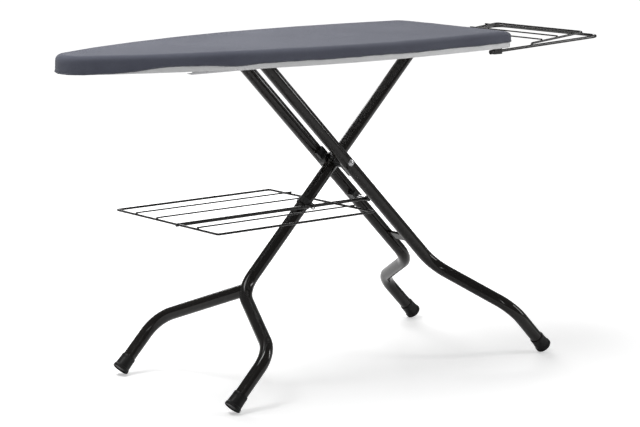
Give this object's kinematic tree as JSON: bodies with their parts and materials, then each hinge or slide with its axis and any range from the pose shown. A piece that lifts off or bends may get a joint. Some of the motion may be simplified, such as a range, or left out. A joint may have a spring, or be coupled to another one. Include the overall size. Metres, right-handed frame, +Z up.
{
  "type": "ironing board",
  "caption": "Folding ironing board with a slate fabric cover, black scissor legs, a wire laundry rack between them and a wire iron rest at the tail",
  "frame": {"origin": "on the floor, at the middle of the whole object's length and width", "axes": "+X from the board's nose to its tail, +Y to the far side, +Z up"},
  "size_m": [1.602, 0.567, 0.8628],
  "materials": {
    "cover_cloth": "woven matte slate cotton",
    "pad_felt": "pale felt",
    "panel_paint": "light grey satin paint",
    "zinc": "bright zinc plate",
    "leg_paint": "glossy black paint",
    "wire_paint": "satin black coating",
    "black_plastic": "moulded black",
    "cap_rubber": "matte black"
  },
  "bodies": {
    "board": {"top_panel": "panel_paint", "rim_band": "panel_paint", "felt_pad": "pad_felt", "cover": "cover_cloth", "rail_near": "zinc", "rail_far": "zinc", "rail_hangers": "zinc", "hanger_rivets": "zinc", "tail_bracket": "zinc", "bracket_rivets": "zinc", "latch_bracket": "zinc", "latch_pin": "zinc", "latch_washers": "black_plastic", "rest_guide_near": "black_plastic", "rest_guide_far": "black_plastic"},
    "leg_b": {"leg_b_tube": "leg_paint", "leg_b_branch": "leg_paint", "leg_b_crossbar": "leg_paint", "tail_axle": "zinc", "tail_axle_caps": "black_plastic", "foot_cap_b_near": "cap_rubber", "foot_cap_b_far": "cap_rubber", "rack_hook": "black_plastic", "rack_hook_screw": "zinc"},
    "leg_a": {"leg_a_near_tube": "leg_paint", "leg_a_far_tube": "leg_paint", "leg_a_brace": "leg_paint", "slide_axle": "zinc", "pivot_bolt": "zinc", "pivot_nut": "zinc", "pivot_washers": "zinc", "pivot_spacer_near": "black_plastic", "pivot_spacer_far": "black_plastic", "foot_cap_a_near": "cap_rubber", "foot_cap_a_far": "cap_rubber", "rack_pin": "zinc", "rack_clip": "black_plastic", "rack_clip_screw": "zinc"},
    "shoe_near": {"slide_shoe_near": "black_plastic"},
    "shoe_far": {"slide_shoe_far": "black_plastic"},
    "rack": {"rack_frame": "wire_paint", "rack_wires": "wire_paint", "rack_rod": "wire_paint"},
    "latch": {"latch_plate": "zinc", "latch_handle": "black_plastic"},
    "iron_rest": {"rest_frame": "wire_paint", "rest_platform": "wire_paint", "rest_wires": "wire_paint", "rest_links": "wire_paint", "rest_stops": "black_plastic"}
  },
  "joints": [
    {"name": "fold", "type": "hinge", "parent": "board", "child": "leg_b", "pos_m": [0.29785, 0, 0.81248], "axis": [0, 1, 0], "range_deg": [-7.1, 38]},
    {"name": "scissor", "type": "hinge", "parent": "leg_b", "child": "leg_a", "pos_m": [0.028, 0, 0.53788], "axis": [0, 1, 0], "range_deg": [-76, 14.2]},
    {"name": "shoe_near_turn", "type": "hinge", "parent": "leg_a", "child": "shoe_near", "pos_m": [-0.24185, -0.0829, 0.81248], "axis": [0, 1, 0], "range_deg": [-7.1, 38]},
    {"name": "shoe_far_turn", "type": "hinge", "parent": "leg_a", "child": "shoe_far", "pos_m": [-0.24185, 0.0829, 0.81248], "axis": [0, 1, 0], "range_deg": [-7.1, 38]},
    {"name": "rack_swing", "type": "hinge", "parent": "leg_a", "child": "rack", "pos_m": [0.1214, -0.0245, 0.43], "axis": [0, 1, 0], "range_deg": [-7.1, 38]},
    {"name": "latch_lift", "type": "hinge", "parent": "board", "child": "latch", "pos_m": [-0.46385, -0.0275, 0.83848], "axis": [0, -1, 0], "range_deg": [-1.9, 0]},
    {"name": "rest_slide", "type": "slide", "parent": "board", "child": "iron_rest", "axis": [0.999, 0, 0.0454], "range_m": [-0.045, 0]}
  ],
  "couplings": [
    {"joint": "scissor", "follows": "fold", "ratio": -2},
    {"joint": "shoe_near_turn", "follows": "fold", "ratio": 1},
    {"joint": "shoe_far_turn", "follows": "fold", "ratio": 1},
    {"joint": "rack_swing", "follows": "fold", "ratio": 1}
  ]
}
